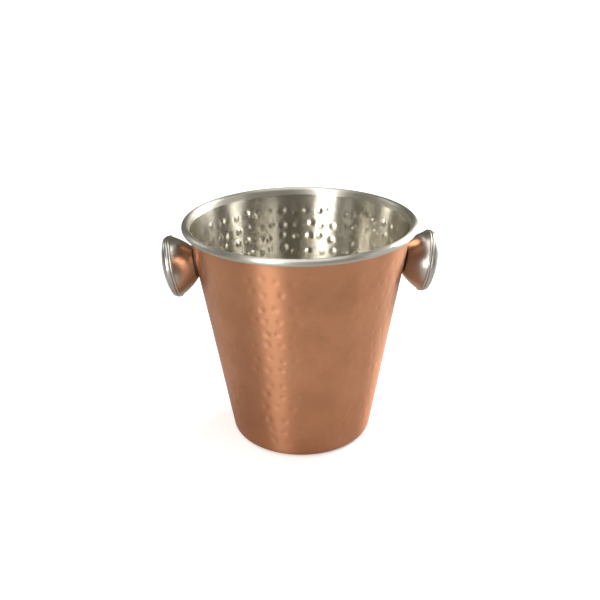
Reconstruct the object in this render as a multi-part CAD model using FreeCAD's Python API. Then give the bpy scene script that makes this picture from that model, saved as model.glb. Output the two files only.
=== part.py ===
"""Hammered ice bucket: a tapered bowl spun from one steel sheet, its rim rolled outwards over a wire,
and two flared knobs, each held by one screw through the wall.

Frame: +Z up, origin at the middle of the base on the table, knobs on the X axis.
The sheet's outside is copper plated, so the plating is part of the same piece.
A knob is drawn upright, with its axis on Z and the wall's outside at Z = 0, and then turned into place.
"""

import FreeCAD, Part
import math
import os

Vector = FreeCAD.Vector

# Bowl, in millimetres
RIM_DIAMETER = 200.0  # over the outside of the rolled rim
HEIGHT = 198.5  # table to the top of the rim
BASE_DIAMETER = 123.8  # where the wall's outside would meet the table
SHEET = 0.9
RIM_BEAD = 6.0  # thickness of the rolled rim
CURL_TURN = 300.0  # degrees of roll, from the wall round to the free edge
BASE_CORNER_RADIUS = 7.3  # outside of the bend from base to wall
FOOT_WIDTH = 9.0  # flat ring that stands on the table
RECESS_HEIGHT = 1.5  # how far the middle of the base is pressed up
RECESS_RUN = 3.0  # width of the slope up to it
RECESS_RADIUS = 3.0
WIRE_CLEARANCE = 0.05

# Knobs
KNOB_DROP = 37.2  # rim top down to where a knob's axis leaves the wall's outside
NECK_DIAMETER = 27.6  # a knob's narrow end
NECK_CORNER = 1.0
FLARE_INSET = 1.25  # ledge where the flare meets the rim bead, in from the knob's rim
FLARE_LENGTH = 15.8  # narrow end to the rim bead
FLARE_BOW = 0.9  # how far the flare's middle stands proud of a straight cone
KNOB_WALL = 1.2
NECK_FLOOR = 2.0
KNOB_RIM_DIAMETER = 53.7
RIM_BEAD_RADIUS = 1.1
FACE_BEAD_RADIUS = 1.05
FACE_BEAD_INSET = 0.05  # how far the face's bead stands inside the knob's rim
CROWN_INSET = 0.7  # foot of the crown, inside the face's bead
CROWN_HEIGHT = 7.6
SHOULDER_RADIUS = 3.2  # bend from the foot of the crown to its top
SEAT_INSET = 4.2  # rim of the knob in to the seat of the face's spigot
SPIGOT_DEPTH = 2.0
SPIGOT_CLEARANCE = 0.1

# Fastening
GASKET_DIAMETER = 25.6
GASKET_THICKNESS = 1.2  # on the line where the wall comes nearest to the knob
WASHER_DIAMETER = 12.0
WASHER_THICKNESS = 1.0
SCREW_DIAMETER = 5.0
SCREW_LENGTH = 12.0  # under the head
SCREW_HOLE_CLEARANCE = 0.25
THREAD_CLEARANCE = 0.05
HEAD_DIAMETER = 9.5
HEAD_HEIGHT = 3.2
HEAD_EDGE_RADIUS = 1.4
DRIVE_LENGTH = 5.0
DRIVE_WIDTH = 1.1
DRIVE_DEPTH = 1.5
INSERT_DIAMETER = 10.0
INSERT_FLANGE_DIAMETER = 17.0
INSERT_FLANGE = 1.6
INSERT_END_WALL = 2.0
THREAD_RUNOUT = 1.5  # bore left beyond the screw's tip

# Worked out from the values above
bead_radius = RIM_BEAD / 2
curl_radius = bead_radius - SHEET
bead_centre = (RIM_DIAMETER / 2 - bead_radius, HEIGHT - bead_radius)
base_radius = BASE_DIAMETER / 2


def wall_slope():
    """Angle of the wall's outside from the vertical, for a wall that runs into the inside of the curl."""
    across = bead_centre[0] - base_radius
    up = bead_centre[1]
    return math.atan2(across, up) - math.asin(curl_radius / math.hypot(across, up))


slope = wall_slope()
knob_z = HEIGHT - KNOB_DROP
knob_x = base_radius + knob_z * math.tan(slope)
foot_inner_radius = base_radius - BASE_CORNER_RADIUS * (1 - math.sin(slope)) / math.cos(slope) - FOOT_WIDTH
seam = GASKET_THICKNESS + FLARE_LENGTH + 2 * RIM_BEAD_RADIUS
knob_rim_radius = KNOB_RIM_DIAMETER / 2
seat_radius = knob_rim_radius - SEAT_INSET
insert_top = SCREW_LENGTH - SHEET - WASHER_THICKNESS + THREAD_RUNOUT + INSERT_END_WALL


def point(x, z):
    return Vector(x, 0, z)


def polar(centre, radius, angle):
    return point(centre[0] + radius * math.cos(angle), centre[1] + radius * math.sin(angle))


def line(start, end):
    return Part.LineSegment(start, end).toShape()


def arc(centre, radius, start, end):
    """Circular arc in the XZ plane, from one angle to another, in radians."""
    middle = (start + end) / 2
    return Part.Arc(
        polar(centre, radius, start), polar(centre, radius, middle), polar(centre, radius, end)
    ).toShape()


def bowed(start, end, bow):
    """Arc from start to end in the XZ plane that stands bow proud, to the right, at its middle."""
    along = (end - start).normalize()
    middle = (start + end) * 0.5 + Vector(along.z, 0, -along.x) * bow
    return Part.Arc(start, middle, end).toShape()


def revolved(edges):
    """Solid of revolution about Z of the closed outline that the edges make, in order."""
    return Part.Face(Part.Wire(edges)).revolve(Vector(0, 0, 0), Vector(0, 0, 1), 360)


def outline(points):
    """Straight edges from point to point, and back to the first."""
    corners = [point(x, z) for x, z in points]
    return [line(a, b) for a, b in zip(corners, corners[1:] + corners[:1])]


def tube(outer_radius, inner_radius, low, high):
    return revolved(
        outline([(inner_radius, low), (outer_radius, low), (outer_radius, high), (inner_radius, high)])
    )


def bend(before, corner, after, radius):
    """Centre and start and end angles of the arc that rounds a corner, and which way it turns."""
    to_before = (before[0] - corner[0], before[1] - corner[1])
    to_after = (after[0] - corner[0], after[1] - corner[1])
    heading_in = math.atan2(-to_before[1], -to_before[0])
    heading_out = math.atan2(to_after[1], to_after[0])
    turn = (heading_out - heading_in + math.pi) % (2 * math.pi) - math.pi
    side = math.copysign(1, turn)
    setback = radius * math.tan(abs(turn) / 2)
    tangent = (corner[0] - setback * math.cos(heading_in), corner[1] - setback * math.sin(heading_in))
    normal = heading_in + side * math.pi / 2
    centre = (tangent[0] + radius * math.cos(normal), tangent[1] + radius * math.sin(normal))
    start = normal - math.pi
    return centre, start, start + turn, side


def bowl_bends():
    """The bends in the outside of the sheet, from the axis to the rim: (centre, radius, start, end, side)."""
    wall_end = (bead_centre[0] - curl_radius * math.cos(slope), bead_centre[1] + curl_radius * math.sin(slope))
    corners = [
        (0, RECESS_HEIGHT, 0),
        (foot_inner_radius - RECESS_RUN, RECESS_HEIGHT, RECESS_RADIUS),
        (foot_inner_radius, 0, RECESS_RADIUS),
        (base_radius, 0, BASE_CORNER_RADIUS),
        (*wall_end, 0),
    ]
    bends = []
    for before, corner, after in zip(corners, corners[1:], corners[2:]):
        centre, start, end, side = bend(before, corner, after, corner[2])
        bends.append((centre, corner[2], start, end, side))
    curl_start = math.pi - slope
    bends.append((bead_centre, curl_radius, curl_start, curl_start - math.radians(CURL_TURN), -1))
    return bends


def sheet_face(offset):
    """Edges of one face of the sheet, from the axis to the free edge, set off to the inside by offset."""
    edges = []
    last = point(0, RECESS_HEIGHT + offset)
    for centre, radius, start, end, side in bowl_bends():
        moved = radius - side * offset
        first = polar(centre, moved, start)
        if last.distanceToPoint(first) > 1e-6:
            edges.append(line(last, first))
        edges.append(arc(centre, moved, start, end))
        last = polar(centre, moved, end)
    return edges, last


def side_placement(side):
    """Turns an upright knob piece to stand square on the wall at +X (side 1) or -X (side -1)."""
    lean = FreeCAD.Rotation(Vector(0, 1, 0), math.degrees(slope) + 90)
    about = FreeCAD.Rotation(Vector(0, 0, 1), 0 if side > 0 else 180)
    return FreeCAD.Placement(Vector(side * knob_x, 0, knob_z), about.multiply(lean))


def cone_solid(offset):
    """Solid cone with the slope of the wall, its face set in from the wall's outside by offset."""
    foot = base_radius - offset / math.cos(slope)
    return Part.makeCone(foot, foot + HEIGHT * math.tan(slope), HEIGHT)


def bucket_shell():
    """One sheet: recessed base, rounded corner, tapered wall and outward curl, drilled for two screws."""
    outer, outer_end = sheet_face(0)
    inner, inner_end = sheet_face(SHEET)
    inner_start = point(0, RECESS_HEIGHT + SHEET)
    edges = outer + [line(outer_end, inner_end)] + inner[::-1] + [line(inner_start, point(0, RECESS_HEIGHT))]
    shell = revolved(edges)
    hole_radius = SCREW_DIAMETER / 2 + SCREW_HOLE_CLEARANCE
    for side in (-1, 1):
        drill = Part.makeCylinder(hole_radius, 4 * SHEET, Vector(0, 0, -3 * SHEET))
        drill.Placement = side_placement(side)
        shell = shell.cut(drill)
    return shell.Solids[0]


def rim_wire():
    """Wire ring that the rim is rolled over."""
    wire = Part.makeTorus(bead_centre[0], curl_radius - WIRE_CLEARANCE)
    wire.translate(Vector(0, 0, bead_centre[1]))
    return wire


def knob_body():
    """Hollow flare: floor at the narrow end, gently bowed cone, half-round bead at the wide end."""
    low = GASKET_THICKNESS
    neck_radius = NECK_DIAMETER / 2
    flare_radius = knob_rim_radius - FLARE_INSET
    flare_top = low + FLARE_LENGTH
    corner = (neck_radius, low)
    centre, start, end, _ = bend((0, low), corner, (flare_radius, flare_top), NECK_CORNER)
    bead = (knob_rim_radius - RIM_BEAD_RADIUS, seam - RIM_BEAD_RADIUS)
    flare_angle = math.atan2(flare_radius - neck_radius, FLARE_LENGTH)
    floor = low + NECK_FLOOR
    inner_offset = KNOB_WALL / math.cos(flare_angle)
    floor_radius = neck_radius + NECK_FLOOR * math.tan(flare_angle) - inner_offset
    seat_floor = low + (seat_radius + inner_offset - neck_radius) / math.tan(flare_angle)
    hole = INSERT_DIAMETER / 2
    inside = [
        point(bead[0], seam),
        point(seat_radius, seam),
        point(seat_radius, seat_floor),
        point(floor_radius, floor),
        point(hole, floor),
        point(hole, low),
        polar(centre, NECK_CORNER, start),
    ]
    edges = [
        arc(centre, NECK_CORNER, start, end),
        bowed(polar(centre, NECK_CORNER, end), point(flare_radius, flare_top), FLARE_BOW),
        line(point(flare_radius, flare_top), polar(bead, RIM_BEAD_RADIUS, -math.pi / 2)),
        arc(bead, RIM_BEAD_RADIUS, -math.pi / 2, math.pi / 2),
    ]
    edges += [line(a, b) for a, b in zip(inside, inside[1:])]
    return revolved(edges)


def crown_arcs(radius, height, foot):
    """Crown of a cap as two arcs that run into each other: the shoulder stands upright at the foot,
    and the top crosses the axis squarely. Each is (centre, radius, start, end)."""
    shoulder = (radius - SHOULDER_RADIUS, foot)
    top_radius = (shoulder[0] ** 2 + height**2 - SHOULDER_RADIUS**2) / (2 * (height - SHOULDER_RADIUS))
    top_centre = (0, foot + height - top_radius)
    meet = math.atan2(foot - top_centre[1], shoulder[0])
    return (shoulder, SHOULDER_RADIUS, 0, meet), (top_centre, top_radius, meet, math.pi / 2)


def knob_face():
    """Domed cap with a half-round bead, and a spigot that sits in the wide end of the knob."""
    bead_edge = knob_rim_radius - FACE_BEAD_INSET
    bead = (bead_edge - FACE_BEAD_RADIUS, seam + FACE_BEAD_RADIUS)
    foot = seam + 2 * FACE_BEAD_RADIUS
    crown_radius = bead_edge - CROWN_INSET
    shoulder, top = crown_arcs(crown_radius, CROWN_HEIGHT, foot)
    spigot = seat_radius - SPIGOT_CLEARANCE
    inner_radius = spigot - KNOB_WALL
    top_centre = top[0]
    inside = top[1] - KNOB_WALL
    inner_start = math.acos(inner_radius / inside)
    edges = [
        line(point(spigot, seam), point(bead[0], seam)),
        arc(bead, FACE_BEAD_RADIUS, -math.pi / 2, math.pi / 2),
        line(polar(bead, FACE_BEAD_RADIUS, math.pi / 2), point(crown_radius, foot)),
        arc(*shoulder),
        arc(*top),
        line(point(0, foot + CROWN_HEIGHT), point(0, top_centre[1] + inside)),
        arc(top_centre, inside, math.pi / 2, inner_start),
        line(polar(top_centre, inside, inner_start), point(inner_radius, seam - SPIGOT_DEPTH)),
        line(point(inner_radius, seam - SPIGOT_DEPTH), point(spigot, seam - SPIGOT_DEPTH)),
        line(point(spigot, seam - SPIGOT_DEPTH), point(spigot, seam)),
    ]
    return revolved(edges)


def knob_insert():
    """Threaded bush in the knob's floor, its flange inside, its bore blind."""
    low = GASKET_THICKNESS
    floor = low + NECK_FLOOR
    bore = SCREW_DIAMETER / 2
    flange_radius = INSERT_FLANGE_DIAMETER / 2
    barrel = INSERT_DIAMETER / 2
    return revolved(
        outline(
            [
                (bore, low),
                (barrel, low),
                (barrel, floor),
                (flange_radius, floor),
                (flange_radius, floor + INSERT_FLANGE),
                (barrel, floor + INSERT_FLANGE),
                (barrel, insert_top),
                (0, insert_top),
                (0, insert_top - INSERT_END_WALL),
                (bore, insert_top - INSERT_END_WALL),
            ]
        )
    )


def gasket(placement):
    """Rubber pad between knob and wall, its back following the wall's curve."""
    pad = tube(GASKET_DIAMETER / 2, SCREW_DIAMETER / 2 + SCREW_HOLE_CLEARANCE, -SHEET, GASKET_THICKNESS)
    pad.Placement = placement
    return max(pad.cut(cone_solid(0)).Solids, key=lambda solid: solid.Volume)


def washer(placement):
    """Steel washer inside the bowl, dished to the wall's curve."""
    hole = SCREW_DIAMETER / 2 + SCREW_HOLE_CLEARANCE
    disc = tube(WASHER_DIAMETER / 2, hole, -SHEET - WASHER_THICKNESS, 0)
    disc.Placement = placement
    return disc.common(cone_solid(SHEET)).Solids[0]


def screw():
    """Pan-head screw with a cross drive; the thread is drawn as a plain cylinder."""
    seat = -SHEET - WASHER_THICKNESS
    head_radius = HEAD_DIAMETER / 2
    shank = SCREW_DIAMETER / 2 - THREAD_CLEARANCE
    tip = seat + SCREW_LENGTH
    top = seat - HEAD_HEIGHT
    shoulder = (head_radius - HEAD_EDGE_RADIUS, top + HEAD_EDGE_RADIUS)
    edges = [
        line(point(0, top), point(shoulder[0], top)),
        arc(shoulder, HEAD_EDGE_RADIUS, -math.pi / 2, 0),
        line(point(head_radius, shoulder[1]), point(head_radius, seat)),
        line(point(head_radius, seat), point(shank, seat)),
        line(point(shank, seat), point(shank, tip)),
        line(point(shank, tip), point(0, tip)),
        line(point(0, tip), point(0, top)),
    ]
    body = revolved(edges)
    for along, across in ((DRIVE_LENGTH, DRIVE_WIDTH), (DRIVE_WIDTH, DRIVE_LENGTH)):
        body = body.cut(Part.makeBox(along, across, DRIVE_DEPTH, Vector(-along / 2, -across / 2, top)))
    return body.Solids[0]


def export(name, shape):
    shape.exportStep(os.path.join("parts", name + ".step"))


def main():
    os.makedirs("parts", exist_ok=True)
    export("bucket_shell", bucket_shell())
    export("rim_wire", rim_wire())
    turned = {
        "knob_body": knob_body(),
        "knob_face": knob_face(),
        "knob_insert": knob_insert(),
        "knob_screw": screw(),
    }
    for name, side in (("left", -1), ("right", 1)):
        placement = side_placement(side)
        for piece, shape in turned.items():
            placed = shape.copy()
            placed.Placement = placement
            export(name + "_" + piece, placed)
        export(name + "_knob_gasket", gasket(placement))
        export(name + "_knob_washer", washer(placement))


main()
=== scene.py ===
"""Hammered ice bucket, finished round its packed model.

The bowl is one steel sheet, struck from outside with rings of small round marks, rolled over at the rim
and copper plated outside. Two turned knobs are screwed to the wall. Everything is in metres, in the
model's frame: +Z up, origin in the middle of the base, knobs on the X axis.
"""

import math

import bpy
import numpy as np
from mathutils import Matrix, Vector


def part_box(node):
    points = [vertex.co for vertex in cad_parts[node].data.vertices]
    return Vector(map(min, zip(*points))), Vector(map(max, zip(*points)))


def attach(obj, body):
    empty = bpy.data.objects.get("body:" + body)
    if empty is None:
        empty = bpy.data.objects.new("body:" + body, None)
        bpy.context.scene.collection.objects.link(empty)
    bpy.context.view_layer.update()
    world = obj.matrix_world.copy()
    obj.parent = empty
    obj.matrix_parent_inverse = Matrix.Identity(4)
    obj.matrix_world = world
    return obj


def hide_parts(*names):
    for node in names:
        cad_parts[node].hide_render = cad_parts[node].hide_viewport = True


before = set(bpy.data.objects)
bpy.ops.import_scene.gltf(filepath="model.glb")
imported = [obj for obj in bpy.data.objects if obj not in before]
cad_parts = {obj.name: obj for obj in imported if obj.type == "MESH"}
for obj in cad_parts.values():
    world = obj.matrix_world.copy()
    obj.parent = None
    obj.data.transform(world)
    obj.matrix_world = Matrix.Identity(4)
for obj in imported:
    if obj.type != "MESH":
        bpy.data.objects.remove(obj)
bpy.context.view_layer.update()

bl_info = {
    "name": "Hammered Ice Bucket",
    "version": (1, 0, 0),
    "blender": (4, 5, 0),
    "location": "3D View > Sidebar > Ice Bucket",
    "description": "Builds a hammered, copper-plated ice bucket with turned knobs round its design model",
    "category": "Add Mesh",
}

_, SHELL_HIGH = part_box("bucket_shell")
SIDES = (("left", -1), ("right", 1))


# ---------------------------------------------------------------- settings


def length(name, description, default):
    return bpy.props.FloatProperty(
        name=name, description=description, default=default, min=0.0, precision=5,
        subtype="DISTANCE", unit="LENGTH",
    )


def angle(name, description, degrees):
    return bpy.props.FloatProperty(
        name=name, description=description, default=math.radians(degrees), subtype="ANGLE", unit="ROTATION"
    )


def factor(name, description, default):
    return bpy.props.FloatProperty(
        name=name, description=description, default=default, min=0.0, max=1.0, subtype="FACTOR"
    )


def number(name, description, default):
    return bpy.props.FloatProperty(name=name, description=description, default=default)


def count(name, description, default):
    return bpy.props.IntProperty(name=name, description=description, default=default, min=1)


def colour(name, description, default):
    return bpy.props.FloatVectorProperty(
        name=name, description=description, default=default, size=3, min=0.0, max=1.0, subtype="COLOR"
    )


class BowlSizes(bpy.types.PropertyGroup):
    """Sizes of the spun sheet."""

    rim_radius: length("Rim radius", "Axis to the outside of the rolled rim", SHELL_HIGH.y)
    height: length("Height", "Table to the top of the rim", SHELL_HIGH.z)
    base_radius: length("Base radius", "Where the wall's outside would meet the table", 0.0619)
    sheet: length("Sheet", "Thickness of the sheet", 0.0009)
    plating: length("Plating", "Depth of sheet that is drawn as copper", 0.00055)
    bead_radius: length("Bead radius", "Outside radius of the roll at the rim", 0.003)
    curl_turn: angle("Curl", "How far the sheet rolls round at the rim", 300.0)
    corner_radius: length("Corner radius", "Outside of the bend from base to wall", 0.0073)
    foot_width: length("Foot width", "Flat ring that stands on the table", 0.009)
    recess_height: length("Recess height", "How far the middle of the base is pressed up", 0.0015)
    recess_run: length("Recess run", "Width of the slope up to the recess", 0.003)
    recess_radius: length("Recess bends", "Radius of the two bends of that slope", 0.003)
    segments: count("Segments", "Faces round the bowl", 420)
    row: length("Row height", "Spacing of the mesh's rows on the struck wall", 0.00138)


class HammerMarks(bpy.types.PropertyGroup):
    """The rings of round marks."""

    pitch_up: length("Pitch up the wall", "Ring to ring, along the slant", 0.0125)
    pitch_round: length("Pitch round the wall", "Mark to mark along a ring", 0.0120)
    first_ring: length("First ring", "Top of the rim down to the first ring, along the slant", 0.0215)
    last_ring: length("Last ring", "Lowest a ring may stand above the table", 0.0105)
    radius: length("Mark radius", "Middle of a mark to its edge", 0.0041)
    depth: length("Depth", "How far an average mark stands out inside the bowl", 0.00042)
    outside: factor("Outside", "How deep a mark is outside, as a share of that", 0.70)
    scatter: length("Scatter", "How far a mark strays from its place", 0.0026)
    waviness: length("Waviness", "How far the wall strays from a true cone", 0.00010)
    seed: count("Seed", "Picks where each mark strays", 11)


class KnobSizes(bpy.types.PropertyGroup):
    """Sizes of a turned knob. Heights run along its axis from the wall's outside."""

    drop: length("Drop", "Rim top down to where the axis leaves the wall", 0.0372)
    gasket: length("Gasket", "Thickness of the rubber pad under the neck", 0.0012)
    neck_radius: length("Neck radius", "Radius of the narrow end", 0.0138)
    neck_bend: length("Neck bend", "Rounding of the narrow end's edge", 0.001)
    rim_radius: length("Rim radius", "Radius of the knob's rim", 0.02685)
    flare_inset: length("Flare inset", "Ledge from the rim in to the end of the flare", 0.00125)
    flare_length: length("Flare length", "Narrow end to the rim bead", 0.0158)
    flare_bow: length("Flare bow", "How far the flare's middle stands proud of a straight cone", 0.0009)
    rim_bead: length("Rim bead", "Radius of the half-round bead on the flare", 0.0011)
    face_bead: length("Face bead", "Radius of the half-round bead on the cap", 0.00105)
    face_inset: length("Face inset", "How far the cap's bead stands inside the rim", 0.00005)
    crown_inset: length("Crown inset", "Cap's bead in to the foot of its crown", 0.0007)
    crown_height: length("Crown height", "Foot of the crown to its top", 0.0076)
    shoulder: length("Shoulder", "Bend from the foot of the crown to its top", 0.0032)
    wall: length("Wall", "Thickness of the knob's metal", 0.0012)
    floor: length("Floor", "Thickness of the narrow end", 0.002)
    bush_radius: length("Bush radius", "Hole in the narrow end for the threaded bush", 0.005)
    seat_inset: length("Seat inset", "Rim in to the seat of the cap's spigot", 0.0042)
    spigot_depth: length("Spigot depth", "How far the cap's spigot reaches into the flare", 0.002)
    clearance: length("Clearance", "Gap round the spigot", 0.0001)
    segments: count("Segments", "Faces round a knob", 160)


class Finishes(bpy.types.PropertyGroup):
    """Colours and polish of the metals and the rubber."""

    copper: colour("Copper", "Clean polished plating", (0.73, 0.348, 0.192))
    # Deep copper is also the colour of the painted shade that darkens the plating towards the foot.
    copper_deep: colour("Deep copper", "Plating toned by handling and air", (0.64, 0.285, 0.155))
    copper_polish: factor("Copper roughness", "Roughness of the plating", 0.36)
    steel: colour("Steel", "Polished steel of the bowl", (0.67, 0.645, 0.58))
    steel_deep: colour("Dull steel", "Steel with a film of wear", (0.50, 0.475, 0.41))
    steel_polish: factor("Steel roughness", "Roughness of the bowl's inside and rim", 0.21)
    nickel: colour("Nickel", "Plating of the knobs", (0.60, 0.58, 0.54))
    nickel_deep: colour("Dull nickel", "Plating where it is handled", (0.46, 0.43, 0.38))
    nickel_polish: factor("Nickel roughness", "Roughness of the knobs", 0.31)
    brass: colour("Brass", "Turned bush inside a knob", (0.72, 0.54, 0.27))
    rubber: colour("Rubber", "Gasket under a knob", (0.022, 0.018, 0.016))
    copper_grain: factor("Copper grain", "How strongly polish lines stretch a reflection", 0.9)
    steel_grain: factor("Steel grain", "How strongly polish lines stretch a reflection", 0.8)


class Studio(bpy.types.PropertyGroup):
    """Camera, floor and lights."""

    lens: number("Lens", "Focal length in millimetres", 50.0)
    camera_distance: length("Camera distance", "Camera to the bowl's axis, level", 0.6745)
    camera_height: length("Camera height", "Camera above the table", 0.4181)
    camera_side: angle("Camera side", "How far the camera stands round from the front", -2.22)
    camera_pan: angle("Camera pan", "Turn of the camera off the bowl's axis", 0.046)
    camera_pitch: angle("Camera pitch", "How far the camera looks down", 23.62)
    camera_roll: angle("Camera roll", "Lean of the camera", -0.61)
    floor_size: length("Floor", "Width of the floor", 12.0)
    floor_pale: colour("Floor", "Floor as the camera sees it", (0.92, 0.92, 0.92))
    floor_dull: colour("Floor in reflections", "Floor as the metal mirrors it", (0.52, 0.51, 0.50))
    floor_lift: factor("Floor lift", "Even glow of the card, for the camera alone", 0.40)
    fade_near: length("Fade from", "Distance from the axis where the floor starts to turn white", 0.35)
    fade_far: length("Fade to", "Distance where the floor is white", 1.8)
    surround: number("Surround", "Strength of the room's even light", 0.16)


GROUPS = (
    ("bowl", BowlSizes),
    ("marks", HammerMarks),
    ("knob", KnobSizes),
    ("finish", Finishes),
    ("studio", Studio),
)


# ---------------------------------------------------------------- profiles


def straight(start, end, step):
    """Points from start up to, but not at, end, no further apart than step."""
    start, end = np.array(start, float), np.array(end, float)
    steps = max(1, math.ceil(np.linalg.norm(end - start) / step - 1e-9))
    share = np.arange(steps)[:, None] / steps
    return start + share * (end - start)


def arc(centre, radius, first, last, step):
    """Points on a circle from one angle up to, but not at, another, no further apart than step."""
    steps = max(2, math.ceil(abs(last - first) * radius / step))
    at = first + (last - first) * np.arange(steps) / steps
    return np.array(centre) + radius * np.stack([np.cos(at), np.sin(at)], 1)


def bowed(start, end, bow, step):
    """Points from start up to, but not at, end on a shallow parabola.

    A point stands 4 * bow * share * (1 - share) to the right of the chord, so bow is reached half way.
    """
    start, end = np.array(start, float), np.array(end, float)
    chord = np.linalg.norm(end - start)
    along = (end - start) / chord
    right = np.array([along[1], -along[0]])
    steps = math.ceil(chord / step)
    share = np.arange(steps)[:, None] / steps
    return start + share * (end - start) + 4 * bow * share * (1 - share) * right


def polar(centre, radius, at):
    """The point of a circle at an angle."""
    return np.array(centre) + radius * np.array([math.cos(at), math.sin(at)])


def bend(before, corner, after, radius):
    """Centre, first angle, last angle and side (1 left, -1 right) of the arc that rounds a corner."""
    before, corner, after = (np.array(p, float) for p in (before, corner, after))
    heading_in = math.atan2(*(corner - before)[::-1])
    heading_out = math.atan2(*(after - corner)[::-1])
    turn = (heading_out - heading_in + math.pi) % (2 * math.pi) - math.pi
    side = math.copysign(1, turn)
    setback = radius * math.tan(abs(turn) / 2)
    normal = heading_in + side * math.pi / 2
    centre = polar(polar(corner, setback, heading_in + math.pi), radius, normal)
    return centre, normal - math.pi, normal - math.pi + turn, side


class BowlLine:
    """The sheet's section: where its outside runs, and any line set off from it towards the inside."""

    def __init__(self, bowl):
        self.bowl = bowl
        self.curl_radius = bowl.bead_radius - bowl.sheet
        self.bead = np.array([bowl.rim_radius - bowl.bead_radius, bowl.height - bowl.bead_radius])
        across, up = self.bead - np.array([bowl.base_radius, 0.0])
        self.slope = math.atan2(across, up) - math.asin(self.curl_radius / math.hypot(across, up))
        lean = (1 - math.sin(self.slope)) / math.cos(self.slope)
        foot = bowl.base_radius - bowl.corner_radius * lean - bowl.foot_width
        self.inward = np.array([-math.cos(self.slope), math.sin(self.slope)])
        self.wall_top = self.bead + self.curl_radius * self.inward
        corners = [
            (0.0, bowl.recess_height),
            (foot - bowl.recess_run, bowl.recess_height),
            (foot, 0.0),
            (bowl.base_radius, 0.0),
            tuple(self.wall_top),
        ]
        radii = (bowl.recess_radius, bowl.recess_radius, bowl.corner_radius)
        self.bends = [
            (radius, *bend(before, corner, after, radius))
            for before, corner, after, radius in zip(corners, corners[1:], corners[2:], radii)
        ]

    def floor_to_wall(self, offset, step, corner_step):
        """The line from the axis to the foot of the wall, set off to the inside, without its last point."""
        last = np.array([0.0, self.bowl.recess_height + offset])
        parts = []
        for radius, centre, first, final, side in self.bends:
            moved = radius - side * offset
            parts.append(straight(last, polar(centre, moved, first), step))
            parts.append(arc(centre, moved, first, final, corner_step))
            last = polar(centre, moved, final)
        return np.concatenate(parts), last

    def outside(self, height):
        """Radius of the wall's outside at a height."""
        return self.bowl.base_radius + height * math.tan(self.slope)


SHALLOWEST, DEEPEST = 0.62, 1.25
SMALLEST, LARGEST = 0.82, 1.12
WAVES = ((3, 21.0, 0.5), (7, -34.0, 0.3), (13, 55.0, 0.2))
SEAT_CLEAR = 0.0130
SEAT_FADE = 0.004


def hammer_marks(marks, line, height, turn):
    """How deep the wall is struck, for rows at these heights and columns at these turns round the axis.

    Rings of marks stand a pitch apart up the slant. Each ring has as many marks as fit round it, evenly
    spaced, and each mark strays a little and has its own depth and size. A mark is the dish (1 - x*x)**2 of
    the distance x from its middle, in mark radii. Slow waves are added, each a sine of a whole number of
    waves round the wall and a rise up it, with its share of the waviness.
    """
    random = np.random.default_rng(marks.seed)
    tilt = math.cos(line.slope)
    slant = (line.bowl.height - height) / tilt
    radius = line.outside(height)
    depth = np.zeros((len(height), len(turn)))
    lowest = (line.bowl.height - marks.last_ring) / tilt
    for ring in np.arange(marks.first_ring, lowest, marks.pitch_up):
        around = 2 * math.pi * line.outside(line.bowl.height - ring * tilt)
        total = round(around / marks.pitch_round)
        step = 2 * math.pi / total
        phase = random.uniform(0, step)
        stray = random.normal(0, marks.scatter / 2, (2, total))
        stray_round, stray_up = stray.clip(-marks.scatter, marks.scatter)
        own_depth = marks.depth * random.uniform(SHALLOWEST, DEEPEST, total)
        own_radius = marks.radius * random.uniform(SMALLEST, LARGEST, total)
        rows = np.abs(slant - ring) < marks.pitch_up
        nearest = np.floor((turn - phase) / step + 0.5).astype(int)
        for beside in (-1, 0, 1):
            mark = nearest + beside
            at = mark % total
            across = (turn - phase - step * mark)[None, :] * radius[rows, None] - stray_round[at]
            along = (slant[rows] - ring)[:, None] - stray_up[at]
            square = np.minimum((across**2 + along**2) / own_radius[at] ** 2, 1.0)
            depth[rows] = np.maximum(depth[rows], own_depth[at] * (1 - square) ** 2)
    for waves, rise, share in WAVES:
        start = random.uniform(0, 2 * math.pi)
        wave = np.sin(waves * turn[None, :] + rise * height[:, None] + start)
        depth += marks.waviness * share * (1 + wave) / 2
    return depth


def clear_of_screws(line, knob, height, turn):
    """1 on the open wall, falling to 0 where a knob's washer and gasket seat.

    It is a smooth step on the distance from the nearer knob's axis.
    """
    seat = line.bowl.height - knob.drop
    from_axis = np.abs((turn + math.pi / 2) % math.pi - math.pi / 2)
    across = from_axis[None, :] * line.outside(height)[:, None]
    along = (height - seat)[:, None] / math.cos(line.slope)
    away = np.hypot(across, along)
    share = ((away - SEAT_CLEAR) / SEAT_FADE).clip(0, 1)
    return share * share * (3 - 2 * share)


# ---------------------------------------------------------------- meshes


ON_AXIS = 1e-7


def corners(*pairs):
    """Map points of like faces: one pair of arrays (u, v) for each corner, in the order of its loops."""
    return np.stack([np.stack(np.broadcast_arrays(u, v), -1) for u, v in pairs], -2).reshape(-1, 2)


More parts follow.
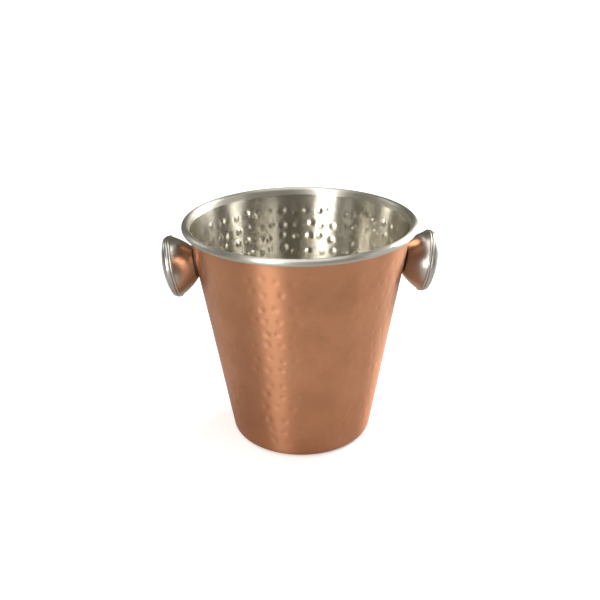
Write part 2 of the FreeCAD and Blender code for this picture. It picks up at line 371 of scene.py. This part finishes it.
def turned_mesh(name, points, segments, struck=0.0):
    """A closed mesh swept round Z from a profile that starts and ends on the axis or closes on itself.

    points is a row of (radius, height) pairs. A vertex is (radius cos t, radius sin t, height) at each turn
    t. struck is a grid of moves (radius, height), one for each row and turn, or 0 for a true surface. The
    map's u runs round the piece and its v along the profile.
    """
    turn = 2 * math.pi * np.arange(segments) / segments
    radius, height = np.moveaxis(np.repeat(points[:, None, :], segments, 1) + struck, 2, 0)
    rings = np.stack([radius * np.cos(turn), radius * np.sin(turn), height], 2)
    poled = points[0, 0] < ON_AXIS
    if poled:
        rings = rings[1:-1]
    rows = len(rings)
    bands = rows - 1 if poled else rows
    index = np.arange(rows * segments).reshape(rows, segments)
    beside = np.roll(index, -1, 1)
    quads = np.stack([index, beside, np.roll(beside, -1, 0), np.roll(index, -1, 0)], 2)[:bands]
    before = np.arange(segments) / segments
    after = (np.arange(segments) + 1) / segments
    along = np.linspace(0, 1, rows + 2 if poled else rows + 1)[:, None]
    low, high = (along[1:-2], along[2:-1]) if poled else (along[:-1], along[1:])
    vertices = rings.reshape(-1, 3)
    faces = [quads.reshape(-1, 4)]
    maps = [corners((before, low), (after, low), (after, high), (before, high))]
    if poled:
        vertices = np.concatenate([vertices, [(0, 0, points[0, 1]), (0, 0, points[-1, 1])]])
        first_pole = np.full(segments, rows * segments)
        faces.append(np.stack([first_pole, beside[0], index[0]], 1))
        faces.append(np.stack([first_pole + 1, index[-1], beside[-1]], 1))
        middle = (np.arange(segments) + 0.5) / segments
        maps.append(corners((middle, 0.0), (after, along[1]), (before, along[1])))
        maps.append(corners((middle, 1.0), (before, along[-2]), (after, along[-2])))
    loops = np.concatenate([part.ravel() for part in faces])
    sizes = np.concatenate([np.full(len(part), part.shape[1]) for part in faces])
    return mesh_from(name, vertices, loops, sizes, np.concatenate(maps))


def mesh_from(name, vertices, loops, sizes, uv):
    """A smooth-shaded mesh from whole arrays: the corners of all faces in a row, and how many each has."""
    mesh = bpy.data.meshes.new(name)
    mesh.vertices.add(len(vertices))
    mesh.vertices.foreach_set("co", vertices.astype(np.float32).ravel())
    mesh.loops.add(len(loops))
    mesh.loops.foreach_set("vertex_index", loops.astype(np.int32))
    mesh.polygons.add(len(sizes))
    starts = np.cumsum(sizes) - sizes
    mesh.polygons.foreach_set("loop_start", starts.astype(np.int32))
    mesh.polygons.foreach_set("loop_total", sizes.astype(np.int32))
    mesh.update(calc_edges=True)
    layer = mesh.uv_layers.new(name="OFBake")
    layer.uv.foreach_set("vector", uv.astype(np.float32).ravel())
    mesh.polygons.foreach_set("use_smooth", np.ones(len(sizes), bool))
    mesh.validate()
    return mesh


def piece(mesh, material, nodes):
    """Puts a finished mesh in the scene for these nodes of the model."""
    made = bpy.data.objects.new(mesh.name, mesh)
    bpy.context.scene.collection.objects.link(made)
    mesh.materials.append(material)
    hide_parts(*nodes)
    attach(made, "root")


def sharpen(mesh, degrees):
    """Creases every edge that bends by more than this, so that flats stay flat."""
    mesh.set_sharp_from_angle(angle=math.radians(degrees))


# ---------------------------------------------------------------- materials


class Value:
    """A socket that carries a number. Operators on it add Math nodes."""

    def __init__(self, shader, socket):
        self.shader = shader
        self.socket = socket

    def math(self, operation, other):
        return self.shader.add("ShaderNodeMath", {"operation": operation}, {0: self, 1: other})

    def __add__(self, other):
        return self.math("ADD", other)

    __radd__ = __add__

    def __mul__(self, other):
        return self.math("MULTIPLY", other)

    __rmul__ = __mul__

    def clamped(self):
        return self.math("MAXIMUM", 0.0).math("MINIMUM", 1.0)


class Shader:
    """A material's node tree with one Principled shader."""

    def __init__(self, name):
        self.material = bpy.data.materials.new(name)
        self.material.use_nodes = True
        self.tree = self.material.node_tree
        self.tree.nodes.clear()
        self.surface = self.tree.nodes.new("ShaderNodeBsdfPrincipled")
        output = self.tree.nodes.new("ShaderNodeOutputMaterial")
        self.tree.links.new(self.surface.outputs["BSDF"], output.inputs["Surface"])

    def feed(self, socket, value):
        if isinstance(value, Value):
            self.tree.links.new(value.socket, socket)
        else:
            socket.default_value = value

    def add(self, kind, settings=None, inputs=None, output=0):
        """Any node: its settings first, then its inputs' values or links, by name, number or identifier."""
        node = self.tree.nodes.new(kind)
        for name, value in (settings or {}).items():
            setattr(node, name, value)
        named = {socket.identifier: socket for socket in node.inputs}
        for key, value in (inputs or {}).items():
            self.feed(named[key] if key in named else node.inputs[key], value)
        outputs = {socket.identifier: socket for socket in node.outputs}
        return Value(self, outputs[output] if output in outputs else node.outputs[output])

    def place(self, scale=(1, 1, 1), rotation=(0, 0, 0)):
        """Object coordinates, scaled and turned."""
        coordinates = self.add("ShaderNodeTexCoord", output="Object")
        inputs = {"Vector": coordinates, "Scale": scale, "Rotation": rotation}
        return self.add("ShaderNodeMapping", None, inputs)

    def noise(self, vector, scale, detail, roughness):
        """Smooth noise of about scale lumps in a metre."""
        inputs = {"Vector": vector, "Scale": scale, "Detail": detail, "Roughness": roughness}
        return self.add("ShaderNodeTexNoise", None, inputs)

    def spread(self, value, low, high):
        """0 below low, 1 above high, smooth between."""
        settings = {"interpolation_type": "SMOOTHSTEP"}
        inputs = {"Value": value, "From Min": low, "From Max": high}
        return self.add("ShaderNodeMapRange", settings, inputs)

    def blend(self, factor, first, second):
        """The first colour at factor 0, the second at 1."""
        settings = {"data_type": "RGBA"}
        inputs = {"Factor_Float": factor, "A_Color": (*first, 1.0), "B_Color": (*second, 1.0)}
        return self.add("ShaderNodeMix", settings, inputs, "Result_Color")

    def bump(self, height, distance, strength, under=None):
        """A normal that leans with a height, over an earlier normal if one is given."""
        inputs = {"Height": height, "Distance": distance, "Strength": strength}
        if under is not None:
            inputs["Normal"] = under
        return self.add("ShaderNodeBump", None, inputs)

    def finish(self, **sockets):
        """Sets the Principled shader's inputs by name, with _ for each space, and returns the material."""
        for name, value in sockets.items():
            title = name.replace("_", " ").title().replace("Ior", "IOR")
            self.feed(self.surface.inputs[title], value)
        return self.material


SPECK_TONE = 0.18
TONE_ROUGHNESS = 0.05
LINE_ROUGHNESS = 0.07
SPECK_ROUGHNESS = 0.08
MEAN_ROUGHNESS = 0.06
LEVEL_GRAIN = 0.25


def sheet_metal(name, clean, deep, roughness, grain, depth_of_tone, wear_and_shade_heights, painted_shade_tone, worn_roughness):
    """Spun and polished sheet: a slow change of tone, level polish lines, and a sprinkling of fine specks.

    The lines are noise squeezed along Z, so that they run round the bowl. The specks are the peaks of a
    fine noise. Both move the roughness and the normal, and the slow tone also moves the colour. Between the
    two heights of worn a band comes in smoothly, where it adds painted_shade_tone of the deep colour as
    painted shade and worn_roughness as wear.
    """
    shader = Shader(name)
    body = shader.place()
    tone = shader.noise(body, scale=26.0, detail=4.0, roughness=0.55)
    level = shader.place(scale=(14.0, 14.0, 1500.0))
    lines = shader.noise(level, scale=1.0, detail=3.0, roughness=0.6)
    specks = shader.noise(body, scale=1400.0, detail=2.0, roughness=0.6)
    toned = shader.spread(tone, low=0.36, high=0.66)
    speckled = shader.spread(specks, low=0.62, high=0.80)
    height = shader.add("ShaderNodeSeparateXYZ", None, {"Vector": body}, "Z")
    wear_and_shade = shader.spread(height, *wear_and_shade_heights)
    # The band's share of the deep colour is painted shade: it darkens the copper towards the foot.
    deepened = toned * depth_of_tone + speckled * SPECK_TONE + wear_and_shade * painted_shade_tone
    rough = toned * TONE_ROUGHNESS + lines * LINE_ROUGHNESS + speckled * SPECK_ROUGHNESS
    rough = rough + wear_and_shade * worn_roughness + (roughness - MEAN_ROUGHNESS)
    normal = shader.bump(lines, distance=0.000010, strength=0.5)
    normal = shader.bump(specks, distance=0.000006, strength=0.4, under=normal)
    return shader.finish(
        base_color=shader.blend(deepened.clamped(), clean, deep), metallic=1.0, roughness=rough,
        normal=normal, anisotropic=grain, anisotropic_rotation=LEVEL_GRAIN,
    )


TURNED_TONE = 0.5
TURNED_SPECK_TONE = 0.2
TURNED_LINE_ROUGHNESS = 0.05
TURNED_MEAN_ROUGHNESS = 0.05


def turned_metal(name, clean, deep, roughness, lean):
    """Turned and plated: turning lines across the knob's axis, a slow change of tone and fine specks.

    The lines are noise squeezed along the knob's axis, which is X leaned by this angle about Y.
    """
    shader = Shader(name)
    body = shader.place()
    turned = shader.place(scale=(900.0, 14.0, 14.0), rotation=(0, lean, 0))
    lines = shader.noise(turned, scale=1.0, detail=3.0, roughness=0.6)
    tone = shader.noise(body, scale=60.0, detail=3.0, roughness=0.5)
    specks = shader.noise(body, scale=1800.0, detail=2.0, roughness=0.6)
    toned = shader.spread(tone, low=0.35, high=0.7)
    speckled = shader.spread(specks, low=0.62, high=0.82)
    deepened = toned * TURNED_TONE + speckled * TURNED_SPECK_TONE
    mixed = shader.blend(deepened.clamped(), clean, deep)
    rough = toned * TONE_ROUGHNESS + lines * TURNED_LINE_ROUGHNESS + speckled * SPECK_ROUGHNESS
    rough = rough + (roughness - TURNED_MEAN_ROUGHNESS)
    normal = shader.bump(lines, distance=0.000008, strength=0.4)
    return shader.finish(base_color=mixed, metallic=1.0, roughness=rough, normal=normal)


DUST = 0.35
DUST_LIFT = 0.05
DUST_SHARE = 0.9
RUBBER_ROUGHNESS = 0.55
RUBBER_GRAIN = 0.2


def rubber(name, shade):
    """Moulded black rubber with a fine matt grain and a dusting of grey."""
    shader = Shader(name)
    body = shader.place()
    grain = shader.noise(body, scale=2600.0, detail=2.0, roughness=0.6)
    film = shader.noise(body, scale=240.0, detail=3.0, roughness=0.6)
    dust = shader.spread(film, low=0.45, high=0.8)
    pale = tuple(DUST_LIFT + DUST_SHARE * c for c in shade)
    return shader.finish(
        base_color=shader.blend(dust * DUST, shade, pale), roughness=grain * RUBBER_GRAIN + RUBBER_ROUGHNESS,
        normal=shader.bump(grain, distance=0.00002, strength=0.5),
    )


DULL_SHARE = 0.7
PATCH_TONE = 0.6
PATCH_ROUGHNESS = 0.12
CUT_LINE_ROUGHNESS = 0.08


def cut_metal(name, clean, roughness):
    """Plain cut metal of a fastener: close machining lines and small dull patches."""
    shader = Shader(name)
    close = shader.place(scale=(40.0, 40.0, 2600.0))
    lines = shader.noise(close, scale=1.0, detail=2.0, roughness=0.5)
    stains = shader.noise(shader.place(), scale=500.0, detail=3.0, roughness=0.6)
    patches = shader.spread(stains, low=0.4, high=0.75)
    dull = tuple(DULL_SHARE * c for c in clean)
    return shader.finish(
        base_color=shader.blend(patches * PATCH_TONE, clean, dull), metallic=1.0,
        roughness=patches * PATCH_ROUGHNESS + lines * CUT_LINE_ROUGHNESS + roughness,
        normal=shader.bump(lines, distance=0.00001, strength=0.5),
    )


# ---------------------------------------------------------------- bowl


HIDDEN_STEP = 0.012
FLOOR_STEP = 0.006
CORNER_STEP = 0.0012
CURL_STEP = 0.00055
EASE_ROWS = 4
PLATING_GAP = 0.00002
RIM_WEAR_FROM = 0.0075
RIM_WEAR_FULL = 0.0050
RIM_WEAR_ROUGHNESS = 0.26
# Share of the height where the painted shade on the copper starts, darkening down to the foot.
FOOT_SHADE_FROM = 0.6
CREASE = 50


def struck_rows(scene, line, points, first, last, share):
    """Moves for the rows from first to last of a profile.

    Each goes in, square to the wall, by a share of the marks' depth. The first and last few rows ease in
    and out of it.
    """
    segments = scene.bowl.segments
    turn = 2 * math.pi * np.arange(segments) / segments
    height = points[first:last, 1]
    depth = hammer_marks(scene.marks, line, height, turn)
    depth *= clear_of_screws(line, scene.knob, height, turn)
    row = np.arange(last - first)
    ease = (row / EASE_ROWS).clip(0, 1) * (row[::-1] / EASE_ROWS).clip(0, 1)
    moves = np.zeros((len(points), segments, 2))
    moves[first:last] = (share * depth * ease[:, None])[..., None] * line.inward
    return moves


def steel_profile(line):
    """Section of the steel: inside face, curl, and the hidden face under the plating, back to the axis."""
    bowl = line.bowl
    inside, foot = line.floor_to_wall(bowl.sheet, FLOOR_STEP, CORNER_STEP)
    top = line.bead + bowl.bead_radius * line.inward
    wall = straight(foot, top, bowl.row)
    start = math.pi - line.slope
    end = start - bowl.curl_turn
    over = arc(line.bead, bowl.bead_radius, start, end, CURL_STEP)
    edge = [polar(line.bead, bowl.bead_radius, end)]
    under = arc(line.bead, line.curl_radius, end, start, 3 * CURL_STEP)
    behind, behind_foot = line.floor_to_wall(bowl.plating, 2 * FLOOR_STEP, 2 * CORNER_STEP)
    behind_top = line.wall_top + bowl.plating * line.inward
    hidden = straight(behind_foot, behind_top, HIDDEN_STEP)[::-1]
    points = np.concatenate([inside, wall, over, edge, under, [behind_top], hidden, behind[::-1]])
    return points, len(inside), len(inside) + len(wall)


def copper_profile(line):
    """Section of the plating: base and wall outside, up to the curl, and the hidden face back to the axis."""
    bowl = line.bowl
    gap = bowl.plating - PLATING_GAP
    outside, foot = line.floor_to_wall(0.0, FLOOR_STEP, CORNER_STEP)
    wall = straight(foot, line.wall_top, bowl.row)
    inner, inner_foot = line.floor_to_wall(gap, 2 * FLOOR_STEP, 2 * CORNER_STEP)
    inner_top = line.wall_top + gap * line.inward
    hidden = straight(inner_foot, inner_top, HIDDEN_STEP)[::-1]
    points = np.concatenate([outside, wall, [line.wall_top], [inner_top], hidden, inner[::-1]])
    return points, len(outside), len(outside) + len(wall)


class BUCKET_OT_steel_bowl(bpy.types.Operator):
    """Build the steel sheet: the struck inside, the floor and the rolled rim"""

    bl_idname = "bucket.steel_bowl"
    bl_label = "Steel Bowl"

    def execute(self, context):
        scene, finish = context.scene, context.scene.finish
        line = BowlLine(scene.bowl)
        points, first, last = steel_profile(line)
        moves = struck_rows(scene, line, points, first, last, share=1.0)
        mesh = turned_mesh("steel_bowl", points[::-1], scene.bowl.segments, moves[::-1])
        sharpen(mesh, CREASE)
        rim = (scene.bowl.height - RIM_WEAR_FROM, scene.bowl.height - RIM_WEAR_FULL)
        metal = sheet_metal(
            "polished_steel", finish.steel, finish.steel_deep, finish.steel_polish, finish.steel_grain,
            depth_of_tone=0.35, wear_and_shade_heights=rim, painted_shade_tone=0.0, worn_roughness=RIM_WEAR_ROUGHNESS,
        )
        piece(mesh, metal, ["bucket_shell"])
        return {"FINISHED"}


class BUCKET_OT_copper_plating(bpy.types.Operator):
    """Build the struck copper outside, from the base up into the rolled rim"""

    bl_idname = "bucket.copper_plating"
    bl_label = "Copper Plating"

    def execute(self, context):
        scene, finish = context.scene, context.scene.finish
        line = BowlLine(scene.bowl)
        points, first, last = copper_profile(line)
        moves = struck_rows(scene, line, points, first, last, scene.marks.outside)
        mesh = turned_mesh("copper_plating", points, scene.bowl.segments, moves)
        sharpen(mesh, CREASE)
        # Painted shade: the copper's colour darkens from six tenths of the height down to the foot.
        foot = (FOOT_SHADE_FROM * scene.bowl.height, 0.0)
        metal = sheet_metal(
            "hammered_copper", finish.copper, finish.copper_deep, finish.copper_polish, finish.copper_grain,
            depth_of_tone=0.4, wear_and_shade_heights=foot, painted_shade_tone=0.3, worn_roughness=0.0,
        )
        piece(mesh, metal, ["bucket_shell"])
        return {"FINISHED"}


# ---------------------------------------------------------------- knobs


KNOB_STEP = 0.0008
KNOB_BEND_STEP = 0.00025
KNOB_CREASE = 40


def knob_matrix(line, knob, side):
    """Turns an upright knob, axis on Z and the wall at Z = 0, to stand square on the wall at +X or -X."""
    height = line.bowl.height - knob.drop
    foot = Matrix.Translation((side * line.outside(height), 0, height))
    about = Matrix.Rotation(0.0 if side > 0 else math.pi, 4, "Z")
    lean = Matrix.Rotation(line.slope + math.pi / 2, 4, "Y")
    return foot @ about @ lean


def flare_profile(knob):
    """Section of the flare: narrow end, bowed cone, half-round bead, and the inside back to the hole."""
    low = knob.gasket
    seam = low + knob.flare_length + 2 * knob.rim_bead
    flare = (knob.rim_radius - knob.flare_inset, low + knob.flare_length)
    corner = (knob.neck_radius, low)
    centre, first, last, _ = bend((0, low), corner, flare, knob.neck_bend)
    bead = (knob.rim_radius - knob.rim_bead, seam - knob.rim_bead)
    lean = math.atan2(flare[0] - knob.neck_radius, knob.flare_length)
    inner = knob.wall / math.cos(lean)
    floor = low + knob.floor
    floor_radius = knob.neck_radius + knob.floor * math.tan(lean) - inner
    seat = knob.rim_radius - knob.seat_inset
    seat_floor = low + (seat + inner - knob.neck_radius) / math.tan(lean)
    ledge = polar(bead, knob.rim_bead, -math.pi / 2)
    inside = [(bead[0], seam), (seat, seam), (seat, seat_floor), (floor_radius, floor)]
    inside += [(knob.bush_radius, floor), (knob.bush_radius, low)]
    parts = [
        arc(centre, knob.neck_bend, first, last, KNOB_BEND_STEP),
        bowed(polar(centre, knob.neck_bend, last), flare, knob.flare_bow, KNOB_STEP),
        straight(flare, ledge, KNOB_BEND_STEP),
        arc(bead, knob.rim_bead, -math.pi / 2, math.pi / 2, KNOB_BEND_STEP),
    ]
    ends = inside[1:] + [tuple(polar(centre, knob.neck_bend, first))]
    parts += [straight(a, b, 4 * KNOB_STEP) for a, b in zip(inside, ends)]
    return np.concatenate(parts)


def cap_profile(knob):
    """Section of the cap: spigot, half-round bead, and a crown of two arcs that run into each other."""
    seam = knob.gasket + knob.flare_length + 2 * knob.rim_bead
    edge = knob.rim_radius - knob.face_inset
    bead = (edge - knob.face_bead, seam + knob.face_bead)
    foot = seam + 2 * knob.face_bead
    crown_radius = edge - knob.crown_inset
    shoulder = (crown_radius - knob.shoulder, foot)
    rise = knob.crown_height
    top_radius = (shoulder[0] ** 2 + rise**2 - knob.shoulder**2) / (2 * (rise - knob.shoulder))
    top_centre = (0.0, foot + rise - top_radius)
    meet = math.atan2(foot - top_centre[1], shoulder[0])
    spigot = knob.rim_radius - knob.seat_inset - knob.clearance
    hollow = spigot - knob.wall
    inside = top_radius - knob.wall
    start = math.acos(hollow / inside)
    low = seam - knob.spigot_depth
    hollow_top = polar(top_centre, inside, start)
    return np.concatenate([
        [(0.0, top_centre[1] + inside)],
        arc(top_centre, inside, math.pi / 2, start, 4 * KNOB_STEP)[1:],
        straight(hollow_top, (hollow, low), 4 * KNOB_STEP),
        straight((hollow, low), (spigot, low), knob.wall),
        straight((spigot, low), (spigot, seam), knob.wall),
        straight((spigot, seam), (bead[0], seam), knob.wall),
        arc(bead, knob.face_bead, -math.pi / 2, math.pi / 2, KNOB_BEND_STEP),
        straight(polar(bead, knob.face_bead, math.pi / 2), (crown_radius, foot), KNOB_BEND_STEP),
        arc(shoulder, knob.shoulder, 0.0, meet, 0.6 * KNOB_STEP),
        arc(top_centre, top_radius, meet, math.pi / 2, KNOB_STEP),
        [(0.0, foot + rise)],
    ])


class BUCKET_OT_knobs(bpy.types.Operator):
    """Build both knobs: flare and domed cap, on each side of the bowl"""

    bl_idname = "bucket.knobs"
    bl_label = "Knobs"

    def execute(self, context):
        scene, finish = context.scene, context.scene.finish
        line = BowlLine(scene.bowl)
        knob = scene.knob
        for name, side in SIDES:
            metal = turned_metal(
                f"turned_nickel_{name}", finish.nickel, finish.nickel_deep, finish.nickel_polish,
                lean=-side * line.slope,
            )
            for part, node, points in (
                ("flare", "knob_body", flare_profile(knob)),
                ("cap", "knob_face", cap_profile(knob)),
            ):
                mesh = turned_mesh(f"{name}_knob_{part}", points, knob.segments)
                mesh.transform(knob_matrix(line, knob, side))
                sharpen(mesh, KNOB_CREASE)
                piece(mesh, metal, [f"{name}_{node}"])
        return {"FINISHED"}


class BUCKET_OT_fittings(bpy.types.Operator):
    """Give the gaskets, screws, washers, bushes and the rim's wire their finishes"""

    bl_idname = "bucket.fittings"
    bl_label = "Fittings"

    def execute(self, context):
        finish = context.scene.finish
        black = rubber("black_rubber", finish.rubber)
        steel = cut_metal("screw_steel", finish.steel, roughness=0.22)
        brass = cut_metal("turned_brass", finish.brass, roughness=0.26)
        materials = {"rim_wire": cut_metal("drawn_wire", finish.steel_deep, roughness=0.34)}
        for name, _ in SIDES:
            materials[f"{name}_knob_gasket"] = black
            materials[f"{name}_knob_screw"] = steel
            materials[f"{name}_knob_washer"] = steel
            materials[f"{name}_knob_insert"] = brass
        for node, material in materials.items():
            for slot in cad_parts[node].material_slots:
                slot.material = material
        return {"FINISHED"}


# ---------------------------------------------------------------- studio


AIM = Vector((0, 0, 0.1))
SENSOR_WIDTH = 36.0
WHITE = (1.0, 1.0, 1.0)
BLACK = (0.0, 0.0, 0.0)
ROOM_COLOUR = (1.0, 0.93, 0.78)
MIRROR_DEPTH = 12


def softbox(name, azimuth, elevation, distance, width, height, power):
    """A rectangular lamp that faces the bowl's middle. Azimuth is counted from the front, to the right."""
    lamp = bpy.data.lights.new(name, "AREA")
    lamp.shape = "RECTANGLE"
    lamp.size = width
    lamp.size_y = height
    lamp.energy = power
    made = bpy.data.objects.new(name, lamp)
    round_it, up = math.radians(azimuth), math.radians(elevation)
    away = Vector((math.sin(round_it) * math.cos(up), -math.cos(round_it) * math.cos(up), math.sin(up)))
    facing = away.to_track_quat("Z", "Y").to_matrix().to_4x4()
    made.matrix_world = Matrix.Translation(AIM + away * distance) @ facing
    made.visible_camera = False
    bpy.context.scene.collection.objects.link(made)


def floor_material(studio):
    """Matt card with a faint tooth: pale to the camera, duller in what the metal mirrors.

    For the camera alone it glows by floor_lift, and the glow rises to full white from fade_near to fade_far,
    so that the card has no visible edge.
    """
    shader = Shader("pale_card")
    tooth = shader.noise(shader.place(), scale=900.0, detail=2.0, roughness=0.5)
    seen = shader.add("ShaderNodeLightPath", output="Is Camera Ray")
    away = shader.add("ShaderNodeVectorMath", {"operation": "LENGTH"}, {0: shader.place()}, "Value")
    faded = shader.spread(away, studio.fade_near, studio.fade_far)
    glow = faded * (1.0 - studio.floor_lift) + studio.floor_lift
    return shader.finish(
        base_color=shader.blend(seen, studio.floor_dull, studio.floor_pale), roughness=0.9,
        normal=shader.bump(tooth, distance=0.00005, strength=0.3), specular_ior_level=0.1,
        emission_color=shader.blend(seen * glow, BLACK, WHITE), emission_strength=1.0,
    )


def lay_floor(scene, studio):
    """One level square under the bowl."""
    half = studio.floor_size / 2
    corner = np.array([(-half, -half, 0), (half, -half, 0), (half, half, 0), (-half, half, 0)], float)
    uv = np.array([(0, 0), (1, 0), (1, 1), (0, 1)], float)
    mesh = mesh_from("floor", corner, np.arange(4), np.array([4]), uv)
    floor = bpy.data.objects.new("floor", mesh)
    scene.collection.objects.link(floor)
    mesh.materials.append(floor_material(studio))


def light_room(scene, studio):
    """Warm even light from all round, with plain white behind for the camera, and five soft lamps."""
    world = bpy.data.worlds.new("room")
    world.use_nodes = True
    scene.world = world
    tree = world.node_tree
    tree.nodes.clear()
    room = tree.nodes.new("ShaderNodeBackground")
    room.inputs["Color"].default_value = (*ROOM_COLOUR, 1.0)
    room.inputs["Strength"].default_value = studio.surround
    backdrop = tree.nodes.new("ShaderNodeBackground")
    backdrop.inputs["Color"].default_value = (*WHITE, 1.0)
    path = tree.nodes.new("ShaderNodeLightPath")
    mix = tree.nodes.new("ShaderNodeMixShader")
    output = tree.nodes.new("ShaderNodeOutputWorld")
    tree.links.new(path.outputs["Is Camera Ray"], mix.inputs["Fac"])
    tree.links.new(room.outputs[0], mix.inputs[1])
    tree.links.new(backdrop.outputs[0], mix.inputs[2])
    tree.links.new(mix.outputs[0], output.inputs[0])
    softbox("key", azimuth=-33.5, elevation=26, distance=1.6, width=0.50, height=1.4, power=16.0)
    softbox("right", azimuth=70, elevation=18, distance=1.6, width=0.5, height=0.8, power=1.8)
    softbox("back_right", azimuth=124, elevation=22, distance=1.6, width=0.95, height=1.0, power=26)
    softbox("back_left", azimuth=-122, elevation=30, distance=1.6, width=0.5, height=0.8, power=2.6)
    softbox("top", azimuth=0, elevation=85, distance=1.8, width=1.6, height=1.6, power=16)


def stand_camera(scene, studio):
    """In front of the bowl and a little round it, looking down on it."""
    lens = bpy.data.cameras.new("camera")
    lens.lens = studio.lens
    lens.sensor_width = SENSOR_WIDTH
    camera = bpy.data.objects.new("camera", lens)
    scene.collection.objects.link(camera)
    around = Matrix.Rotation(studio.camera_side, 4, "Z")
    stand = Matrix.Translation((0, -studio.camera_distance, studio.camera_height))
    pan = Matrix.Rotation(studio.camera_pan, 4, "Z")
    pitch = Matrix.Rotation(math.pi / 2 - studio.camera_pitch, 4, "X")
    roll = Matrix.Rotation(studio.camera_roll, 4, "Z")
    camera.matrix_world = around @ stand @ pan @ pitch @ roll
    scene.camera = camera


class BUCKET_OT_studio(bpy.types.Operator):
    """Set up the pale floor, the soft lights and the camera"""

    bl_idname = "bucket.studio"
    bl_label = "Studio"

    def execute(self, context):
        scene, studio = context.scene, context.scene.studio
        lay_floor(scene, studio)
        light_room(scene, studio)
        stand_camera(scene, studio)
        scene.view_settings.view_transform = "Standard"
        scene.cycles.glossy_bounces = MIRROR_DEPTH
        return {"FINISHED"}


# ---------------------------------------------------------------- add-on


OPERATORS = (
    BUCKET_OT_steel_bowl,
    BUCKET_OT_copper_plating,
    BUCKET_OT_knobs,
    BUCKET_OT_fittings,
    BUCKET_OT_studio,
)


class BUCKET_PT_sidebar(bpy.types.Panel):
    """Buttons and sizes of the ice bucket"""

    bl_idname = "BUCKET_PT_sidebar"
    bl_label = "Ice Bucket"
    bl_space_type = "VIEW_3D"
    bl_region_type = "UI"
    bl_category = "Ice Bucket"

    def draw(self, context):
        for operator in OPERATORS:
            self.layout.operator(operator.bl_idname)
        for name, group in GROUPS:
            box = self.layout.box()
            box.label(text=group.__doc__)
            for key in group.__annotations__:
                box.prop(getattr(context.scene, name), key)


CLASSES = (*(group for _, group in GROUPS), *OPERATORS, BUCKET_PT_sidebar)


def register():
    for item in CLASSES:
        bpy.utils.register_class(item)
    for name, group in GROUPS:
        setattr(bpy.types.Scene, name, bpy.props.PointerProperty(type=group))


def unregister():
    for name, _ in GROUPS:
        delattr(bpy.types.Scene, name)
    for item in reversed(CLASSES):
        bpy.utils.unregister_class(item)


def main():
    register()
    bpy.ops.bucket.steel_bowl()
    bpy.ops.bucket.copper_plating()
    bpy.ops.bucket.knobs()
    bpy.ops.bucket.fittings()
    bpy.ops.bucket.studio()


if __name__ == "__main__":
    main()
